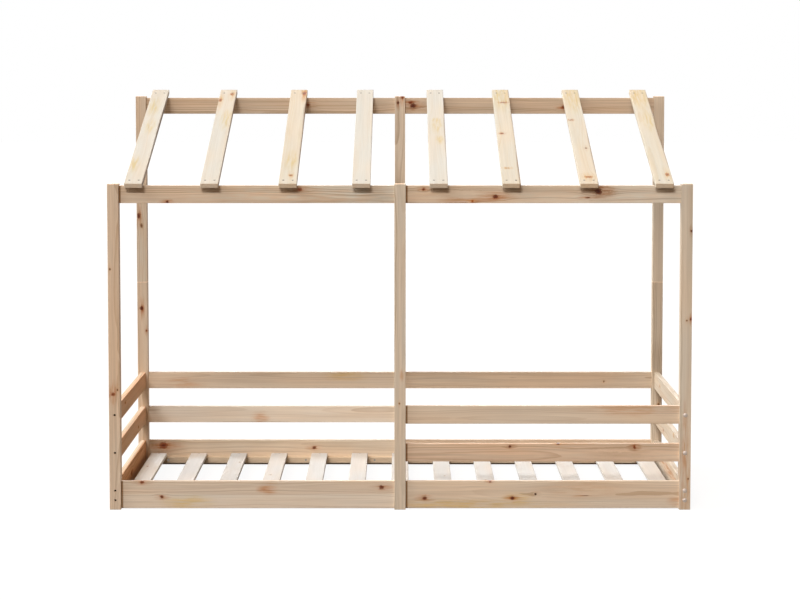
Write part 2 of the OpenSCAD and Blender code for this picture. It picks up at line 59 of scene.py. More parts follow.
# %% [markdown]
# ## The light
#
# A studio picture of pale wood needs three things: a key light that draws short shadows under the slat
# ends, a broad soft light that makes the tops and the left faces glow, and a little light from everywhere.
# Suns do this best here, because a sun lights near and far posts alike. A strength of pi on a sun makes a
# white face that looks at it just white, so strengths are written as shares of that. A weak fill behind the
# bed doesn't show from the front, and keeps the rear faces plain to read when the bed is turned.
#
# The key light is a wide, low softbox. It draws level edges sharply, such as those of the slat ends, and
# blurs upright ones, so the posts throw no hard shadows on the rails behind them. A sun is round, so a row
# of small suns, side by side, stands in for the box. Each of them is turned round the bed, from the front
# towards the left end, by one of the angles in KEY_TURNS.

# %% Hang the lamps
KEY_SHARE = 0.565
KEY_HEIGHT = math.radians(38)
KEY_SOFTNESS = 7
KEY_TURNS = (4, 7, 10, 13, 16, 19, 22, 25)
LAMP_DISTANCE = 4
PLAIN_WHITE = (1.0, 1.0, 1.0)
COOL_WHITE = (0.97, 0.99, 1.0)


def add_sun(name, towards_lamp, share, softness, colour):
    """Adds a sun. Its share is a part of pi, and its softness is the angle it fills, in degrees."""
    turn = Vector(towards_lamp).to_track_quat("Z", "Y").to_euler()
    bpy.ops.object.light_add(type="SUN", location=Vector(towards_lamp) * LAMP_DISTANCE, rotation=turn)
    sun = bpy.context.object
    sun.name = name
    sun.data.energy = share * math.pi
    sun.data.angle = math.radians(softness)
    sun.data.color = colour
    print(name, "share", share, "softness", softness)


for turn in KEY_TURNS:
    round_the_bed = math.radians(turn)
    towards = (-math.sin(round_the_bed) * math.cos(KEY_HEIGHT),
               -math.cos(round_the_bed) * math.cos(KEY_HEIGHT), math.sin(KEY_HEIGHT))
    add_sun("key_light_%d" % turn, towards, KEY_SHARE / len(KEY_TURNS), KEY_SOFTNESS, PLAIN_WHITE)
add_sun("soft_light", (-0.80, 0.0, 0.60), share=1.15, softness=50, colour=COOL_WHITE)
add_sun("rear_fill", (0.0, 0.97, 0.25), share=0.50, softness=30, colour=COOL_WHITE)

# %% [markdown]
# The world gives the light from everywhere. A ray from the camera, or one that steel or a glossy face
# reflects, meets plain white instead, so the background is white without any more light falling on the wood.

# %% Light from everywhere, and a white backdrop
AMBIENT = (0.29, 0.20, 0.135, 1)
WHITE = (1, 1, 1, 1)


def plug(tree, socket, value):
    """Links a socket, or sets it where the value is a plain number, vector or colour."""
    if isinstance(value, bpy.types.NodeSocket):
        tree.links.new(value, socket)
    else:
        socket.default_value = value


def add_node(tree, kind, inputs=None, **settings):
    """Adds a shader node with its settings, and plugs its inputs by name or number."""
    node = tree.nodes.new("ShaderNode" + kind)
    for name, value in settings.items():
        setattr(node, name, value)
    for name, value in (inputs or {}).items():
        plug(tree, node.inputs[name], value)
    return node


def calc(tree, operation, *values):
    """One step of arithmetic on numbers."""
    node = add_node(tree, "Math", operation=operation)
    for socket, value in zip(node.inputs, values):
        plug(tree, socket, value)
    return node.outputs[0]


def seen_directly(tree):
    """1 for rays from the camera and in mirrors and glass, 0 for rays that light things."""
    path = add_node(tree, "LightPath")
    mirror = calc(tree, "MAXIMUM", path.outputs["Is Glossy Ray"], path.outputs["Is Transmission Ray"])
    return calc(tree, "MAXIMUM", path.outputs["Is Camera Ray"], mirror)


world = bpy.data.worlds.new("studio")
world.use_nodes = True
world.node_tree.nodes.clear()
bpy.context.scene.world = world
around = add_node(world.node_tree, "Background", {"Color": AMBIENT, "Strength": 1.0})
white = add_node(world.node_tree, "Background", {"Color": WHITE, "Strength": 1.0})
either = add_node(world.node_tree, "MixShader", {
    0: seen_directly(world.node_tree), 1: around.outputs[0], 2: white.outputs[0]})
add_node(world.node_tree, "OutputWorld", {"Surface": either.outputs[0]})
bpy.context.scene.view_settings.view_transform = "Standard"

# %% [markdown]
# ## The floor
#
# The floor is a wide plane, a hair below the feet. What it scatters back at the bed is little, like a matt
# grey floor, so the undersides of the rails stay dark. To the camera a glow lifts it to white, and only the
# bed's own shadow stays a touch below white.

# %% Lay the floor
FLOOR_SIZE = 80
FLOOR_DROP = 0.0002
FLOOR_COLOUR = (0.11, 0.10, 0.09, 1)
FLOOR_GLOW = 0.93

bpy.ops.object.select_all(action="DESELECT")
bpy.ops.mesh.primitive_plane_add(size=FLOOR_SIZE, location=(0, 0, -FLOOR_DROP))
floor = bpy.context.object
floor.name = "floor"

floor_paint = bpy.data.materials.new("floor_paint")
floor_paint.use_nodes = True
tree = floor_paint.node_tree
tree.nodes.clear()
matt = add_node(tree, "BsdfDiffuse", {"Color": FLOOR_COLOUR})
lift = calc(tree, "MULTIPLY", seen_directly(tree), FLOOR_GLOW)
glow = add_node(tree, "Emission", {"Color": WHITE, "Strength": lift})
both = add_node(tree, "AddShader", {0: matt.outputs[0], 1: glow.outputs[0]})
add_node(tree, "OutputMaterial", {"Surface": both.outputs[0]})
floor.data.materials.append(floor_paint)

# %% [markdown]
# ## How a plank of pine is drawn
#
# A plank is a slice of a trunk, so its pattern isn't painted on its faces: it runs through the wood. The
# trunk's heart is a line beside or inside the plank, every year adds a ring round that line, and a face of
# the plank shows where it cuts the rings. Long arches appear on a flat-sawn face, straight lines on the
# narrow edges, and arcs on the sawn ends, and all of them meet at the corners as they do in real wood.
#
# So each plank gets its own coordinates first: x along the grain, y across the face that shows, and z
# through the thickness, measured from the middle of the plank. A lie names the first two of those
# directions, and the third follows from them. The roof slats climb from the tops of the front posts to
# those of the rear ones, which gives their pitch.

# %% Coordinates of a plank
FRONT_TOP = 1.157
REAR_TOP = 1.453
FRONT_TO_REAR = 0.92
ROOF_PITCH = math.atan2(REAR_TOP - FRONT_TOP, FRONT_TO_REAR)

ALONG_BED = (Vector((1, 0, 0)), Vector((0, 0, 1)))
ACROSS_BED = (Vector((0, 1, 0)), Vector((0, 0, 1)))
UPRIGHT = (Vector((0, 0, 1)), Vector((1, 0, 0)))
UP_THE_ROOF = (Vector((0, math.cos(ROOF_PITCH), math.sin(ROOF_PITCH))), Vector((1, 0, 0)))
OVER_THE_BASE = (Vector((0, 1, 0)), Vector((1, 0, 0)))


def plank_place(tree, name, lie):
    """Object coordinates turned and moved so that they run along the plank from its middle."""
    along, across = lie
    low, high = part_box(name)
    turned = Matrix((along, across, along.cross(across))).transposed().to_euler()
    spot = add_node(tree, "TexCoord").outputs["Object"]
    moved = add_node(tree, "Mapping", vector_type="TEXTURE", inputs={
        "Vector": spot, "Location": (low + high) / 2, "Rotation": turned})
    return moved.outputs[0]


def vector(tree, operation, *values):
    """One step of arithmetic on vectors. A length or a dot product comes out as a number."""
    node = add_node(tree, "VectorMath", operation=operation)
    for socket, value in zip(node.inputs, values):
        plug(tree, socket, value)
    return node.outputs["Value" if operation in ("LENGTH", "DOT_PRODUCT") else "Vector"]


def fade(tree, value, start, end, low=0.0, high=1.0):
    """Goes softly from low, where the value is at start, to high, where it is at end."""
    return add_node(tree, "MapRange", interpolation_type="SMOOTHSTEP", inputs={
        "Value": value, "From Min": start, "From Max": end, "To Min": low, "To Max": high,
    }).outputs[0]


def noise(tree, place, scale, detail=2.0):
    """Noise round zero, with a scale of its own in each direction."""
    scaled = vector(tree, "MULTIPLY", place, scale)
    cloud = add_node(tree, "TexNoise", {"Vector": scaled, "Scale": 1.0, "Detail": detail})
    return calc(tree, "SUBTRACT", cloud.outputs[0], 0.5)


# A Mix node has sockets for numbers and vectors too. These are the ones it uses for colours.
MIX_FACTOR, MIX_FIRST, MIX_SECOND, MIX_RESULT = 0, 6, 7, 2


def mix_colours(tree, factor, first, second, way="MIX"):
    """Goes from the first colour to the second, or to their product, as the factor rises."""
    node = add_node(tree, "Mix", data_type="RGBA", blend_type=way)
    for index, value in ((MIX_FACTOR, factor), (MIX_FIRST, first), (MIX_SECOND, second)):
        plug(tree, node.inputs[index], value)
    return node.outputs[MIX_RESULT]


# %% [markdown]
# ## Knots
#
# A knot is a branch that the trunk grew round. It cuts through the plank as a dark peg, the grain bends
# round it, and the wood beside it is stained red by resin. One node group draws one knot: it adds to the
# peg and to the stain, and it shifts the coordinates so that rings drawn later bend round the peg. A plank
# with several knots chains several of them. A stain is a knot with no bending, and a swirl, where a branch
# lies just under the face, is one with less of it: neither has a peg.
#
# Distances from the middle of a knot are counted in its radii, and a zone is a pair of them: where a tint
# starts, and where it is full. The halo of resin reaches far along the grain and breaks up into streaks,
# the rim hugs the peg, and the peg has a darker core. Noise makes the outline ragged.

# %% One knot
LARGEST_RAG = 0.009
HALO_SQUEEZE = 0.42
BEND_ZONE = (3.4, 0.7)
FULL_PULL = -0.85
LEAST_PEG_BEND = 0.6
HALO = (2.8, 0.5)
RIM = (2.1, 0.9)
PEG = (1.12, 0.72)
CORE = (0.75, 0.1)
CORE_TINT = (0.45, 0.34, 0.30, 1)
PEG_REACH = 1.08
ALONG_GRAIN = (1, 0, 0)
ACROSS_GRAIN = (0, 1, 0)


def new_group(name, takes, gives):
    """Starts a node group. Returns it with the sockets that it takes from and those that it gives to."""
    group = bpy.data.node_groups.new(name, "ShaderNodeTree")
    for names, way in ((takes, "INPUT"), (gives, "OUTPUT")):
        for socket, kind in names.items():
            group.interface.new_socket(socket, in_out=way, socket_type="NodeSocket" + kind)
    return group, group.nodes.new("NodeGroupInput").outputs, group.nodes.new("NodeGroupOutput").inputs


knot, given, made = new_group(
    "knot",
    {"Grain": "Vector", "Spot": "Vector", "Stain": "Color", "Peg": "Float", "Place": "Vector",
     "Radius": "Float", "Stretch": "Float", "Bend": "Float", "Rag": "Float", "Streaks": "Float",
     "Peg colour": "Color", "Stain colour": "Color"},
    {"Grain": "Vector", "Stain": "Color", "Peg": "Float"})
rag = calc(knot, "MULTIPLY", given["Rag"], calc(knot, "MINIMUM", given["Radius"], LARGEST_RAG))
away = vector(knot, "ADD", vector(knot, "SUBTRACT", given["Spot"], given["Place"]), rag)
sideways = vector(knot, "MULTIPLY", away, ACROSS_GRAIN)
lengthways = calc(knot, "DIVIDE", vector(knot, "DOT_PRODUCT", away, ALONG_GRAIN), given["Stretch"])


def knot_distance(squeeze):
    """Distance from the middle of the knot in radii, squeezed along the grain."""
    along = add_node(knot, "CombineXYZ", {"X": calc(knot, "MULTIPLY", lengthways, squeeze)})
    length = vector(knot, "LENGTH", vector(knot, "ADD", sideways, along.outputs[0]))
    return calc(knot, "DIVIDE", length, given["Radius"])


def tinted(colour, distance, zone, tint, share):
    """Multiplies the colour by a tint, from nothing where the zone starts to all of it where it is full."""
    amount = calc(knot, "MULTIPLY", fade(knot, distance, *zone), share)
    return mix_colours(knot, amount, colour, tint, "MULTIPLY")


near = knot_distance(1.0)
wide = knot_distance(HALO_SQUEEZE)
pull = calc(knot, "MULTIPLY", fade(knot, wide, *BEND_ZONE), calc(knot, "MULTIPLY", given["Bend"], FULL_PULL))
plug(knot, made["Grain"], vector(knot, "ADD", given["Grain"], vector(knot, "MULTIPLY", sideways, pull)))
has_peg = calc(knot, "GREATER_THAN", given["Bend"], LEAST_PEG_BEND)

halo = tinted(given["Stain"], wide, HALO, given["Stain colour"], given["Streaks"])
rim = tinted(halo, near, RIM, given["Stain colour"], calc(knot, "MULTIPLY", has_peg, given["Streaks"]))
filled = tinted(rim, near, PEG, given["Peg colour"], has_peg)
plug(knot, made["Stain"], tinted(filled, near, CORE, CORE_TINT, has_peg))
inside = calc(knot, "MULTIPLY", calc(knot, "SUBTRACT", PEG_REACH, near), has_peg)
plug(knot, made["Peg"], calc(knot, "MAXIMUM", given["Peg"], inside))
print("knot group nodes:", len(knot.nodes))

# %% [markdown]
# ## Rings, fibres and tone
#
# The distance from the trunk's heart, divided by the width of a ring, counts the years. Within a year the
# wood is pale at first and darkens to the summer wood at the end, then starts pale again with a sharp line.
# Slow noise makes the trunk wander, which turns straight lines into arches. Some years are darker than
# others. On top come broad streaks of tone, fine fibres along the grain, and a tint beyond a line: the redder
# heartwood on some planks, painted shade on the faces of others that look away from the light. A sawn end is
# lighter and warmer than the faces, and its open pores speckle it.
#
# Each noise has a scale along, across and through the plank: a small number draws long slow shapes, and a
# large one draws short fine ones. All but the pores are far slower along the grain than across it.

# %% Pine
SEED_STEP = (5.17, 3.31, 7.73)
WANDER_SCALE, WANDER = (1.7, 6, 6), 0.034
TREMBLE_SCALE, TREMBLE = (9, 45, 45), 0.0035
SUMMER_COMES, SUMMER_GOES = (0.25, 0.93), (1.0, 0.95)
YEAR_TO_YEAR = (0.3, 1.0, 0.2, 1.5)
STREAK_SCALE, STREAK_FADE = (1.3, 38, 38), (-0.05, 0.28, 0.0, 0.5)
STRAND_SCALE, STRAND_CONTRAST = (2.0, 130, 130), 0.44
FIBRE_SCALE, FIBRE_CONTRAST = (14, 900, 900), 0.16
DRIFT_SCALE = (2.6, 12, 12)
WARM_DRIFT, COOL_DRIFT = (1.03, 0.99, 0.95, 1), (0.98, 1.01, 1.04, 1)
HEARTWOOD_AND_SHADE_BLUR, HEARTWOOD_AND_SHADE_WANDER = 0.004, 0.5
END_ANGLES = (0.55, 0.85)
SAWN_TINT = (1.33, 1.15, 1.00)
PORE_SCALE, PORE_CONTRAST = (500, 700, 700), 0.35
PEG_RINGS, PEG_RING_FADE = 34.0, (0.0, 0.3, 0.0, 0.14)
BARK_DEPTH, BARK_FADE = 0.12, (0.13, 0.02, 1.0, 0.72)
PEG_POLISH_FADE, PEG_POLISH = (0.0, 0.2), 0.16
FIBRE_ROUGHNESS, ROUGHNESS = 0.25, 0.66
FIBRE_HEIGHT, RING_HEIGHT, PEG_HEIGHT = 0.5, 0.35, 0.3

pine, given, made = new_group(
    "pine",
    {"Grain": "Vector", "Stain": "Color", "Peg": "Float", "Seed": "Float", "Heart": "Vector",
     "Ring width": "Float", "Figure": "Float", "Along": "Vector", "Spring wood": "Color",
     "Summer wood": "Color", "Heartwood and shade": "Color", "Heartwood and shade side": "Vector", "Heartwood and shade line": "Float"},
    {"Color": "Color", "Roughness": "Float", "Height": "Float"})

# The years
grain = vector(pine, "ADD", given["Grain"], vector(pine, "MULTIPLY", given["Seed"], SEED_STEP))
from_heart = vector(pine, "MULTIPLY", vector(pine, "SUBTRACT", given["Grain"], given["Heart"]), (0, 1, 1))
wander = calc(pine, "MULTIPLY", noise(pine, grain, WANDER_SCALE, 1.0), WANDER)
tremble = calc(pine, "MULTIPLY", noise(pine, grain, TREMBLE_SCALE), TREMBLE)
distance = calc(pine, "ADD", vector(pine, "LENGTH", from_heart), calc(pine, "ADD", wander, tremble))
years = calc(pine, "DIVIDE", distance, given["Ring width"])
year = calc(pine, "FLOOR", years)
season = calc(pine, "FRACT", years)
summer = calc(pine, "MULTIPLY", fade(pine, season, *SUMMER_COMES), fade(pine, season, *SUMMER_GOES))
luck = add_node(pine, "TexWhiteNoise", {"W": calc(pine, "ADD", year, given["Seed"])}, noise_dimensions="1D")
strength = calc(pine, "MULTIPLY", fade(pine, luck.outputs["Value"], *YEAR_TO_YEAR), given["Figure"])
lines = calc(pine, "MULTIPLY", summer, strength)

# The colour of the wood
streaks = noise(pine, grain, STREAK_SCALE, 3.0)
strands = calc(pine, "MULTIPLY", noise(pine, grain, STRAND_SCALE), given["Figure"])
fibres = noise(pine, grain, FIBRE_SCALE, 3.0)
drift = noise(pine, grain, DRIFT_SCALE, 1.0)
# Beyond the line: redder heartwood on some planks, painted shade on others.
depth = vector(pine, "DOT_PRODUCT", given["Grain"], given["Heartwood and shade side"])
past_line = calc(pine, "ADD", calc(pine, "SUBTRACT", depth, given["Heartwood and shade line"]),
                 calc(pine, "MULTIPLY", wander, HEARTWOOD_AND_SHADE_WANDER))
wood = mix_colours(pine, lines, given["Spring wood"], given["Summer wood"])
wood = mix_colours(pine, fade(pine, past_line, -HEARTWOOD_AND_SHADE_BLUR, HEARTWOOD_AND_SHADE_BLUR), wood, given["Heartwood and shade"], "MULTIPLY")
wood = mix_colours(pine, fade(pine, streaks, *STREAK_FADE), wood, given["Summer wood"])
brightness = calc(pine, "MULTIPLY_ADD", fibres, FIBRE_CONTRAST,
                  calc(pine, "MULTIPLY_ADD", strands, STRAND_CONTRAST, 1.0))
wood = vector(pine, "MULTIPLY", wood, brightness)
wood = vector(pine, "MULTIPLY", wood, mix_colours(
    pine, fade(pine, drift, -0.2, 0.2), WARM_DRIFT, COOL_DRIFT))

# The sawn ends
end_cut = fade(pine, calc(pine, "ABSOLUTE", vector(
    pine, "DOT_PRODUCT", add_node(pine, "TexCoord").outputs["Normal"], given["Along"])), *END_ANGLES)
pores = calc(pine, "ADD", calc(pine, "MULTIPLY", noise(pine, grain, PORE_SCALE), PORE_CONTRAST), 1.0)
sawn = vector(pine, "MULTIPLY", vector(pine, "MULTIPLY", wood, SAWN_TINT), pores)
wood = mix_colours(pine, end_cut, wood, sawn)

# The rings and the bark of the pegs
peg = given["Peg"]
peg_rings = calc(pine, "SINE", calc(pine, "MULTIPLY", peg, PEG_RINGS))
peg_tone = calc(pine, "ADD", 1.0, calc(pine, "MULTIPLY", peg_rings, fade(pine, peg, *PEG_RING_FADE)))
bark = fade(pine, calc(pine, "ABSOLUTE", calc(pine, "SUBTRACT", peg, BARK_DEPTH)), *BARK_FADE)
wood = vector(pine, "MULTIPLY", wood, calc(pine, "MULTIPLY", peg_tone, bark))
plug(pine, made["Color"], mix_colours(pine, 1.0, wood, given["Stain"], "MULTIPLY"))

# Roughness and relief
in_peg = fade(pine, peg, *PEG_POLISH_FADE)
plug(pine, made["Roughness"], calc(
    pine, "SUBTRACT", calc(pine, "MULTIPLY_ADD", fibres, FIBRE_ROUGHNESS, ROUGHNESS),
    calc(pine, "MULTIPLY", in_peg, PEG_POLISH)))
relief = calc(pine, "MULTIPLY_ADD", fibres, FIBRE_HEIGHT, calc(pine, "MULTIPLY", lines, RING_HEIGHT))
plug(pine, made["Height"], calc(pine, "ADD", relief, calc(pine, "MULTIPLY", in_peg, PEG_HEIGHT)))
print("pine group nodes:", len(pine.nodes))

# %% [markdown]
# ## One finish for each plank
#
# No two planks come from the same place in a trunk, so each gets a finish of its own, built from the same
# groups. A plank's tone is one of a few, as they come off a pallet: its spring wood and its summer wood. A
# kind of knot has the colour of its peg, the colour of its stain and a share of bending.

# %% Tones and kinds of knot
TONES = {
    "honey": ((0.735, 0.560, 0.405, 1), (0.555, 0.380, 0.240, 1)),
    "tan": ((0.690, 0.530, 0.385, 1), (0.520, 0.365, 0.235, 1)),
    "sand": ((0.710, 0.595, 0.465, 1), (0.520, 0.400, 0.275, 1)),
    "plain": ((0.760, 0.610, 0.460, 1), (0.575, 0.420, 0.285, 1)),
    "ash": ((0.780, 0.670, 0.545, 1), (0.600, 0.470, 0.345, 1)),
    "rosy": ((0.750, 0.540, 0.375, 1), (0.490, 0.290, 0.165, 1)),
    "gold": ((0.765, 0.600, 0.425, 1), (0.615, 0.440, 0.285, 1)),
    "pale": ((0.660, 0.565, 0.450, 1), (0.560, 0.450, 0.330, 1)),
    "roof cream": ((0.605, 0.570, 0.500, 1), (0.575, 0.505, 0.405, 1)),
    "roof yellow": ((0.605, 0.550, 0.455, 1), (0.565, 0.470, 0.330, 1)),
    "base cream": ((0.620, 0.590, 0.550, 1), (0.585, 0.530, 0.475, 1)),
    # The two whitest base tones are painted light for the two slats at the left end.
    "base white painted light": ((0.740, 0.710, 0.670, 1), (0.700, 0.650, 0.590, 1)),
    "base chalk painted light": ((0.900, 0.880, 0.835, 1), (0.860, 0.815, 0.750, 1)),
}
KNOTS = {
    "black": ((0.14, 0.09, 0.07, 1), (0.90, 0.80, 0.70, 1), 1.0),
    "dark": ((0.36, 0.19, 0.13, 1), (0.76, 0.53, 0.39, 1), 1.0),
    "red": ((0.60, 0.34, 0.23, 1), (0.82, 0.59, 0.45, 1), 0.9),
    "orange": ((0.76, 0.44, 0.22, 1), (0.95, 0.80, 0.60, 1), 0.7),
    "pin": ((0.50, 0.38, 0.30, 1), (0.92, 0.82, 0.72, 1), 0.8),
    "swirl": (WHITE, (0.93, 0.84, 0.76, 1), 0.6),
    "yellow stain": (WHITE, (0.95, 0.84, 0.56, 1), 0.0),
    "red stain": (WHITE, (0.88, 0.69, 0.56, 1), 0.0),
    "grey stain": (WHITE, (0.99, 1.07, 1.14, 1), 0.0),
}

# %% [markdown]
# Knots are listed in millimetres from the middle of the plank, along it and across its face, with a radius
# and a kind. A fifth number, where there is one, says how much longer the knot is along the grain than
# across it.
#
# Two more details belong to the ends of some planks. At the left end of each front plank, a thin dark line is
# painted shadow: the shadow that its post, standing proud of the plank, throws to the right. The two halves
# of a rear post meet in a thin pale line.

# %% Build the finish of one plank
MILLIMETRE = 1 / 1000
PLAIN_STRETCH = 1.15
RAG_SCALE, RAGGEDNESS = (90, 150, 150), 1.3
STAIN_STREAK_SCALE, STAIN_STREAK_FADE = (14, 150, 150), (-0.16, 0.14, 0.15, 1.0)
# Painted shadow: the dark line at the left end of the front planks, thrown by the post.
POST_SHADOW_LINE, POST_SHADOW_FACING, POST_SHADOW_TINT = (0.009, 0.005), (0.3, 0.7), (0.42, 0.31, 0.21, 1)
SPLICE_LINE, SPLICE_TINT = (0.0028, 0.0012), (1.22, 1.26, 1.32, 1)
HEARTWOOD = (0.97, 0.90, 0.84, 1)
NO_HEARTWOOD = 1.0
HEART_ASIDE, HEART_BEHIND = (0.01, 0.04), (0.018, 0.035)
PLANK_RING = 0.0055
PLANK_FIGURE = 0.75
PLANK_GLOSS = 0.25
RELIEF_STRENGTH, RELIEF_DEPTH = 0.25, 0.0004


def add_knots(tree, place, marks):
    """Chains a knot group for each mark. Returns the bent grain, the stain and the pegs."""
    rag = calc(tree, "MULTIPLY", noise(tree, place, RAG_SCALE, 3.0), RAGGEDNESS)
    streaks = fade(tree, noise(tree, place, STAIN_STREAK_SCALE, 3.0), *STAIN_STREAK_FADE)
    grain, stain, peg = place, WHITE, 0.0
    for along, across, radius, kind, *stretch in marks:
        peg_colour, stain_colour, bend = KNOTS[kind]
        one = add_node(tree, "Group", node_tree=knot)
        for name, value in {
                "Grain": grain, "Spot": place, "Rag": rag, "Stain": stain, "Peg": peg,
                "Place": (along * MILLIMETRE, across * MILLIMETRE, 0), "Radius": radius * MILLIMETRE,
                "Stretch": stretch[0] if stretch else PLAIN_STRETCH, "Bend": bend, "Streaks": streaks,
                "Peg colour": peg_colour, "Stain colour": stain_colour}.items():
            plug(tree, one.inputs[name], value)
        grain, stain, peg = (one.outputs[name] for name in ("Grain", "Stain", "Peg"))
    return grain, stain, peg


def paint_post_shadow(tree, place, name, stain):
    """Paints the post's shadow: darkens the front face where the plank's left end meets its post."""
    low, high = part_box(name)
    reach = calc(tree, "ADD", vector(tree, "DOT_PRODUCT", place, ALONG_GRAIN), (high.x - low.x) / 2)
    in_front = vector(tree, "DOT_PRODUCT", add_node(tree, "TexCoord").outputs["Normal"], (0, -1, 0))
    amount = calc(tree, "MULTIPLY", fade(tree, reach, *POST_SHADOW_LINE), fade(tree, in_front, *POST_SHADOW_FACING))
    return mix_colours(tree, amount, stain, POST_SHADOW_TINT, "MULTIPLY")


def lighten_end(tree, place, name, end, stain):
    """Makes the last 2 mm at the lower (-1) or upper (1) end of a post a little paler."""
    low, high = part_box(name)
    height = calc(tree, "MULTIPLY", vector(tree, "DOT_PRODUCT", place, ALONG_GRAIN), end)
    amount = fade(tree, calc(tree, "SUBTRACT", (high.z - low.z) / 2, height), *SPLICE_LINE)
    return mix_colours(tree, amount, stain, SPLICE_TINT, "MULTIPLY")


def new_finish(name):
    """Starts a material. Returns it with its node tree and its shader."""
    material = bpy.data.materials.new(name)
    material.use_nodes = True
    return material, material.node_tree, material.node_tree.nodes["Principled BSDF"]


def put_on(material, *pieces):
    """Gives the pieces their material."""
    for piece in pieces:
        for slot in nodes[piece].material_slots:
            slot.material = material


def finish_plank(name, lie, tone, marks=(), heart=None, ring=PLANK_RING, figure=PLANK_FIGURE,
                 heartwood_and_shade_line=NO_HEARTWOOD, heartwood_and_shade_side=ACROSS_GRAIN, heartwood_and_shade=HEARTWOOD, painted_post_shadow=False,
                 pale_end=0, gloss=PLANK_GLOSS):
    """Builds a plank's finish and puts it on.

    The heart is that of its trunk, across and through the plank from its middle. The figure is the contrast
    of its rings. The heartwood-and-shade tint starts at its line, that far from the middle towards its side,
    and the line for none lies outside any plank. It draws real heartwood on some planks, and painted shade on
    the left end planks' inner faces and the roof slats' right sides. The painted post shadow darkens the left
    end of a front plank's front face. All lengths are in metres.
    """
    chance = random.Random(name)
    seed = chance.uniform(0, 9)
    if heart is None:
        heart = (chance.choice((-1, 1)) * chance.uniform(*HEART_ASIDE), chance.uniform(*HEART_BEHIND))
    material, tree, shader = new_finish("pine_" + name)
    place = plank_place(tree, name, lie)
    grain, stain, peg = add_knots(tree, place, marks)
    if painted_post_shadow:
        stain = paint_post_shadow(tree, place, name, stain)
    if pale_end:
        stain = lighten_end(tree, place, name, pale_end, stain)
    spring_colour, summer_colour = TONES[tone]
    body = add_node(tree, "Group", node_tree=pine)
    for socket, value in {
            "Grain": grain, "Stain": stain, "Peg": peg, "Seed": seed, "Heart": (0, *heart),
            "Ring width": ring, "Figure": figure, "Along": lie[0], "Spring wood": spring_colour,
            "Summer wood": summer_colour, "Heartwood and shade": heartwood_and_shade, "Heartwood and shade side": heartwood_and_shade_side,
            "Heartwood and shade line": heartwood_and_shade_line}.items():
        plug(tree, body.inputs[socket], value)
    relief = add_node(tree, "Bump", {
        "Strength": RELIEF_STRENGTH, "Distance": RELIEF_DEPTH, "Height": body.outputs["Height"]})
    plug(tree, shader.inputs["Base Color"], body.outputs["Color"])
    plug(tree, shader.inputs["Roughness"], body.outputs["Roughness"])
    plug(tree, shader.inputs["Normal"], relief.outputs[0])
    shader.inputs["Specular IOR Level"].default_value = gloss
    put_on(material, name)


# %% [markdown]
# ## Posts
#
# Three posts stand in front and three at the rear, each of the rear ones in two halves. A post is cut
# near the heart of a thin trunk, so its faces show straight narrow rings and small knots. Where two halves
# meet, the freshly sawn edges show as a thin pale line. Each row below holds a tone, a figure and the marks.

# %% Finish the posts
POST_RING = 0.0045
POSTS = {
    "front_left_post": ("honey", 0.95, [
        (278, -12, 4, "pin"), (-166, -5, 7.5, "red", 0.9), (-164, -4, 8, "red stain"),
        (-150, 11, 3, "pin", 1.6)]),
    "front_centre_post": ("sand", 1.05, [(-199, -2, 3, "pin"), (-98, 7, 4, "red stain")]),
    "front_right_post": ("sand", 0.55, [
        (413, 16, 4, "dark"), (96, 2, 3, "pin"), (101, 16, 4, "red"), (-468, 12, 3, "pin"),
        (-319, -2, 5, "red stain", 6.0), (-500, 0, 14, "red stain", 3.0)]),
    "rear_left_post_lower": ("tan", 0.8, [(260, -3, 7, "dark", 1.3), (172, 15, 4, "red")]),
    "rear_centre_post_lower": ("sand", 0.8, []),
    "rear_right_post_lower": ("sand", 0.8, [(-120, 6, 4, "pin")]),
    "rear_left_post_upper": ("tan", 0.8, [
        (-103, -12, 6, "dark", 2.0), (-142, -1, 5, "pin", 2.0), (-280, 0, 25, "grey stain", 2.0)]),
    "rear_centre_post_upper": ("plain", 0.8, [(339, -7, 5, "dark"), (359, 9, 6, "red")]),
    "rear_right_post_upper": ("sand", 0.8, [(210, -8, 3, "pin")]),
}
for name, (tone, figure, marks) in POSTS.items():
    splice = 1 if name.endswith("lower") else -1 if name.endswith("upper") else 0
    finish_plank(name, UPRIGHT, tone, marks, ring=POST_RING, figure=figure, pale_end=splice)
print("posts:", len(POSTS))

# %% [markdown]
# ## Boards and rails
#
# These are flat-sawn planks, and the front ones are what the eye meets first: long arches, knots with red
# halos, a yellow resin patch at the left and a short crack at the right. Three of the front ones are cut
# from a chosen place in the trunk: one is half heartwood, and two have the trunk's heart close by.

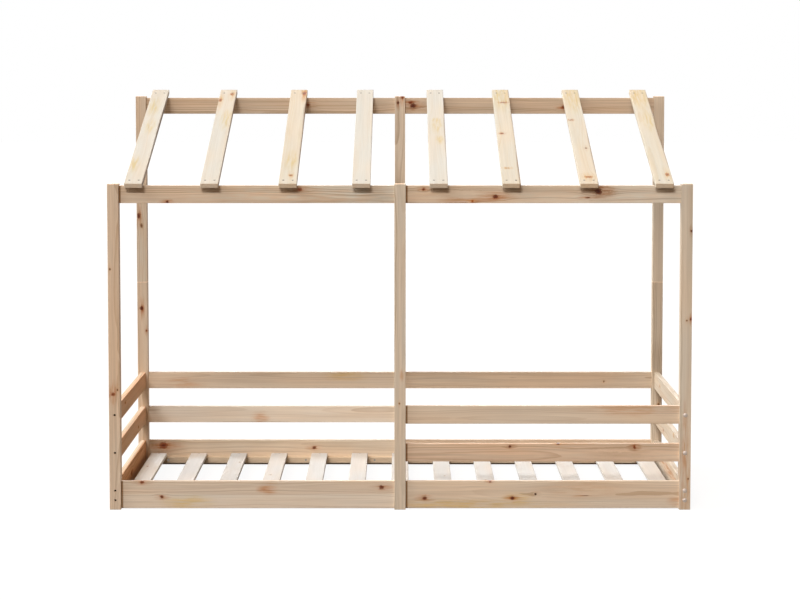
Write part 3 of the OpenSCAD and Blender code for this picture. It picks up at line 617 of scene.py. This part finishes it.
# %% Finish the planks along the bed
LONG_PLANKS = {
    "front_side_board_left": ("ash", 0.65, [
        (-411, 44, 5, "red", 1.6), (-341, -8, 5.5, "dark"), (-249, -27, 13, "yellow stain", 1.4),
        (440, 27, 7.5, "dark"), (36, 20, 13, "red stain", 0.6), (30, 16, 8, "red stain", 0.8)]),
    "front_side_board_right": ("plain", 1.0, [
        (-418, -13, 6.5, "dark"), (-106, -13, 6, "dark"), (-90, -12, 10, "yellow stain"),
        (-24, 2, 4.6, "black", 1.0), (-185, 47, 4, "red"), (-300, -36, 9, "yellow stain", 8.0),
        (125, 16, 16, "swirl", 2.0), (154, -4, 1.1, "dark", 12.0), (474, -24, 9, "red stain", 0.7)]),
    "front_guard_rail_lower": ("rosy", 1.3, [
        (-115, 22, 4.5, "dark"), (56, 32, 4, "pin", 1.6), (300, -4, 20, "swirl", 1.5),
        (380, 0, 26, "grey stain", 2.5), (327, 19, 7, "red", 0.7)]),
    "front_guard_rail_upper": ("plain", 0.55, [(330, 24, 14, "red stain", 3.0)]),
    "front_roof_rail_left": ("honey", 0.85, [
        (-314, -27, 5, "dark"), (153, 18, 7, "red"), (330, 0, 30, "grey stain", 4.0),
        (300, 0, 30, "grey stain", 5.0)]),
    "front_roof_rail_right": ("plain", 0.9, [
        (194, 10, 12, "dark"), (206, 9, 12, "red stain", 0.7), (330, 0, 30, "grey stain", 5.0),
        (-169, -8, 7, "dark", 1.3), (-160, -8, 14, "red stain"), (-422, 18, 4.5, "red"),
        (156, -12, 2.5, "dark", 3.5), (-251, -25, 4, "orange"), (-275, -22, 6, "red stain", 3.0),
        (-330, -5, 20, "swirl", 2.0)]),
    "rear_side_board_left": ("sand", 0.75, [(-427, 27, 14, "red", 1.2), (167, 18, 6, "dark")]),
    "rear_side_board_right": ("tan", 0.75, [(60, 10, 4, "pin")]),
    "rear_guard_rail_left_lower": ("ash", 0.7, [
        (-45, -12, 12, "red stain", 0.6), (-38, -16, 8, "red stain", 0.7)]),
    "rear_guard_rail_left_upper": ("plain", 0.8, [
        (290, 16, 9, "yellow stain", 2.0), (-340, -8, 11, "red stain", 1.5)]),
    "rear_guard_rail_right_lower": ("tan", 0.8, [(-250, 6, 4, "red")]),
    "rear_guard_rail_right_upper": ("plain", 1.0, [(297, -5, 4, "pin", 0.6)]),
    "rear_roof_rail_left": ("tan", 1.0, [(146, 4, 7, "red")]),
    "rear_roof_rail_right": ("tan", 1.0, [
        (-454, 1, 10, "dark"), (-465, 11, 6, "red"), (133, -5, 7, "red")]),
}
OWN_CUT = {
    "front_side_board_left": {"heartwood_and_shade_line": 0.0},
    "front_side_board_right": {"heart": (0.006, -0.028)},
    "front_guard_rail_lower": {"heart": (-0.010, -0.024)},
}
# The front planks get the painted post shadow at their left ends.
for name, (tone, figure, marks) in LONG_PLANKS.items():
    finish_plank(name, ALONG_BED, tone, marks, figure=figure, painted_post_shadow=name.startswith("front"),
                 **OWN_CUT.get(name, {}))
print("planks along the bed:", len(LONG_PLANKS))

# %% [markdown]
# The planks across the left end are painted darker and redder on their inner faces, as painted shade: those
# faces look away from the soft light. They are seen at a grazing angle. Any gloss there would mirror the
# white room and wash the colour out, so these planks have none. The heartwood tint carries this painted
# shade: it starts 5 mm from the middle of the plank on the inner side, so the outer faces have none of it.

# %% Finish the planks across the ends
# Painted shade on the inner faces of the left end planks.
INNER_SHADE_RED = (1.04, 0.86, 0.76, 1)
INNER_SHADE_BROWN = (0.87, 0.61, 0.45, 1)
SHADED_INNER_FACE = {"heartwood_and_shade_side": (0, 0, 1), "heartwood_and_shade_line": 0.005, "gloss": 0.0}
END_PLANKS = {
    "left_end_board": ("plain", [(-55, 6, 8, "dark")]),
    "left_end_rail_lower": ("plain", [(180, -8, 5, "red")]),
    "left_end_rail_upper": ("plain", [(-240, 10, 5, "red")]),
    "right_end_board": ("pale", [(80, 14, 12, "red stain", 10.0), (60, 18, 6, "red stain", 16.0)]),
    "right_end_rail_lower": ("pale", [(-220, 20, 7, "orange"), (120, -12, 5, "red")]),
    "right_end_rail_upper": ("pale", [(250, 4, 5, "orange")]),
}
for name, (tone, marks) in END_PLANKS.items():
    if name.startswith("left"):
        inner_shade_colour = INNER_SHADE_BROWN if name.endswith("board") else INNER_SHADE_RED
        finish_plank(name, ACROSS_BED, tone, marks, heartwood_and_shade=inner_shade_colour, **SHADED_INNER_FACE)
    else:
        finish_plank(name, ACROSS_BED, tone, marks)
print("planks across the ends:", len(END_PLANKS))

# %% [markdown]
# ## Slats and ledges
#
# Slats are the cheap, pale outer wood. Those of the roof are cream with yellow arches and a few orange
# knots. They are 64 mm wide, and their sides to the right, beyond 31 mm from the middle, are painted dark as
# painted shade, since they face away from the soft light. The heartwood tint draws this painted shade too.

# %% Finish the roof slats
# Painted shade on the right sides of the roof slats.
SHADED_RIGHT_SIDE = (0.44, 0.32, 0.25, 1)
SHADED_SIDE_START = 0.031
ROOF_FIGURE = 0.4
ROOF_SLATS = {
    "roof_slat_1": ("roof cream", [
        (319, -7, 11, "yellow stain", 2.0), (87, 0, 9, "yellow stain", 2.0),
        (-326, -15, 9, "yellow stain", 2.0)]),
    "roof_slat_2": ("roof cream", [
        (465, 15, 7, "orange", 2.5), (392, -26, 7, "orange", 3.0), (160, 14, 12, "yellow stain", 2.0)]),
    "roof_slat_3": ("roof yellow", [
        (475, 22, 8, "orange", 3.0), (475, 22, 9, "red stain", 2.0), (-286, 4, 11, "yellow stain", 2.0),
        (-438, 8, 7, "orange", 1.5)]),
    "roof_slat_4": ("roof cream", []),
    "roof_slat_5": ("roof cream", [
        (95, 3, 11, "yellow stain", 1.6), (160, 0, 8, "yellow stain", 0.6),
        (-60, 10, 7, "yellow stain", 1.5)]),
    "roof_slat_6": ("roof yellow", [
        (364, 6, 12, "red", 0.35), (7, -15, 9, "red", 0.4), (-364, -8, 11, "orange", 0.3),
        (440, 0, 18, "yellow stain", 2.0)]),
    "roof_slat_7": ("roof yellow", [
        (159, -21, 9, "red", 0.4), (-154, 14, 5, "pin", 1.5), (-455, 1, 15, "orange", 0.6),
        (420, 5, 18, "yellow stain", 2.0)]),
    "roof_slat_8": ("roof yellow", [
        (-430, 18, 8, "orange", 2.2), (440, 0, 18, "yellow stain", 2.0),
        (150, 10, 12, "yellow stain", 2.0)]),
}
for name, (tone, marks) in ROOF_SLATS.items():
    finish_plank(name, UP_THE_ROOF, tone, marks, figure=ROOF_FIGURE, heartwood_and_shade_line=SHADED_SIDE_START,
                 heartwood_and_shade=SHADED_RIGHT_SIDE)
print("roof slats:", len(ROOF_SLATS))

# %% [markdown]
# The slats of the base are paler still and nearly free of knots: each has two pin knots at most, at places
# drawn by lot from its own name. The two at the left end are painted whiter than the rest, as painted light
# that makes up for the shade the left end planks throw on them. The ledges under them are golden.

# %% Finish the bed slats and the ledges
# Painted light: the two slats at the left end are whiter.
PAINTED_LIGHT_BASE_TONES = {"bed_slat_01": "base chalk painted light", "bed_slat_02": "base white painted light"}
BASE_FIGURE = 0.3
LEDGE_FIGURE = 0.5
PIN_COUNTS = (0, 1, 1, 2)
PIN_ALONG, PIN_ACROSS, PIN_RADIUS = (-380, 380), (-20, 20), (2.5, 4.5)

base_slats = sorted(name for name in nodes if name.startswith("bed_slat_"))
for name in base_slats:
    chance = random.Random("marks of " + name)
    marks = [(chance.uniform(*PIN_ALONG), chance.uniform(*PIN_ACROSS), chance.uniform(*PIN_RADIUS), "pin")
             for _ in range(chance.choice(PIN_COUNTS))]
    finish_plank(name, OVER_THE_BASE, PAINTED_LIGHT_BASE_TONES.get(name, "base cream"), marks, figure=BASE_FIGURE)
ledges = [name for name in nodes if "_ledge_" in name]
for name in ledges:
    finish_plank(name, ALONG_BED, "gold", figure=LEDGE_FIGURE)
print("bed slats:", len(base_slats), "ledges:", len(ledges))

# %% [markdown]
# ## Steel and dowels
#
# Bolts, nuts, studs and screws are zinc-plated steel: a grey that mirrors the room softly, with a faint
# mottling from the plating bath and fine scratches. The screws in the roof slats are a darker, duller grey.

# %% Finish the nuts, the studs and the screws
MOTTLE_SCALE, MOTTLE_ROUGHNESS = (420, 420, 420), 0.3
SCRATCH_SCALE = (160, 2600, 2600)
SCRATCH_STRENGTH, SCRATCH_DEPTH = 0.12, 0.0001
BRIGHT_ROUGHNESS = 0.40


def start_steel(name, dull, bright, roughness):
    """Starts a finish with mottled plating. Returns its parts, its coordinates and the plating's colour."""
    steel, tree, shader = new_finish(name)
    place = add_node(tree, "TexCoord").outputs["Object"]
    mottle = noise(tree, place, MOTTLE_SCALE, 3.0)
    plug(tree, shader.inputs["Roughness"], calc(tree, "MULTIPLY_ADD", mottle, MOTTLE_ROUGHNESS, roughness))
    shader.inputs["Metallic"].default_value = 1.0
    return steel, tree, shader, place, mix_colours(tree, fade(tree, mottle, -0.25, 0.25), dull, bright)


def finish_steel(name, dull, bright, pieces):
    """Plates and scratches the pieces."""
    steel, tree, shader, place, plating = start_steel(name, dull, bright, BRIGHT_ROUGHNESS)
    plug(tree, shader.inputs["Base Color"], plating)
    scratches = noise(tree, place, SCRATCH_SCALE)
    relief = add_node(tree, "Bump", {
        "Strength": SCRATCH_STRENGTH, "Distance": SCRATCH_DEPTH, "Height": scratches})
    plug(tree, shader.inputs["Normal"], relief.outputs[0])
    put_on(steel, *pieces)
    print(name, "on", len(pieces), "pieces")


finish_steel("zinc_steel", (0.30, 0.27, 0.24, 1), (0.38, 0.34, 0.30, 1),
             ["barrel_nuts", "centre_studs", "bed_base_screws"])
finish_steel("dull_steel", (0.12, 0.10, 0.08, 1), (0.17, 0.145, 0.12, 1), ["roof_slat_screws"])

# %% [markdown]
# The domed bolt heads on the right posts stand proud and have gone dull. The other heads sit deep in their
# holes, and they are painted nearly black as painted shade, the shade in the holes. The posts' faces are
# 1.030 m along and 0.480 m across from the middle of the bed, so steel beyond the two distances below is that
# of a domed head, and all other steel of the bolts is painted that shade.

# %% Finish the frame bolts
PROUD_X = 1.027
PROUD_Y = 0.478
BOLT_ROUGHNESS = 0.62
# Painted shade for the heads deep in their holes.
HOLE_SHADE_BLACK = (0.025, 0.018, 0.012, 1)

bolt_steel, tree, shader, place, plating = start_steel(
    "bolt_steel", (0.39, 0.33, 0.28, 1), (0.48, 0.40, 0.35, 1), BOLT_ROUGHNESS)


def beyond(direction, face):
    """1 where the distance along the direction from the middle of the bed passes the face."""
    reach = calc(tree, "ABSOLUTE", vector(tree, "DOT_PRODUCT", place, direction))
    return calc(tree, "GREATER_THAN", reach, face)


proud = calc(tree, "MAXIMUM", beyond((1, 0, 0), PROUD_X), beyond((0, 1, 0), PROUD_Y))
plug(tree, shader.inputs["Base Color"], mix_colours(tree, proud, HOLE_SHADE_BLACK, plating))
put_on(bolt_steel, "frame_bolts")

# %% [markdown]
# Dowels are turned beech, short flecks in a warm plain wood. The planks hide them all, so they show only
# when the bed is taken apart.

# %% Finish the dowels
FLECK_SCALE, WARMTH_SCALE = (90, 700, 700), (8, 60, 60)
BROWN_BEECH, PINK_BEECH, FLECK = (0.60, 0.42, 0.26, 1), (0.68, 0.49, 0.31, 1), (0.42, 0.26, 0.15, 1)
FLECK_FADE, FLECK_SHARE = (0.08, 0.2), 0.5
FLECK_ROUGHNESS, BEECH_ROUGHNESS, BEECH_GLOSS = 0.1, 0.55, 0.3

beech, tree, shader = new_finish("dowel_beech")
place = add_node(tree, "TexCoord").outputs["Object"]
flecks = fade(tree, noise(tree, place, FLECK_SCALE), *FLECK_FADE)
warmth = fade(tree, noise(tree, place, WARMTH_SCALE), -0.2, 0.2)
beech_wood = mix_colours(tree, warmth, BROWN_BEECH, PINK_BEECH)
plug(tree, shader.inputs["Base Color"],
     mix_colours(tree, calc(tree, "MULTIPLY", flecks, FLECK_SHARE), beech_wood, FLECK))
plug(tree, shader.inputs["Roughness"], calc(tree, "MULTIPLY_ADD", flecks, FLECK_ROUGHNESS, BEECH_ROUGHNESS))
shader.inputs["Specular IOR Level"].default_value = BEECH_GLOSS
put_on(beech, "dowels")

# %% [markdown]
# ## Finish

# %% Finish
print("materials:", len(bpy.data.materials))
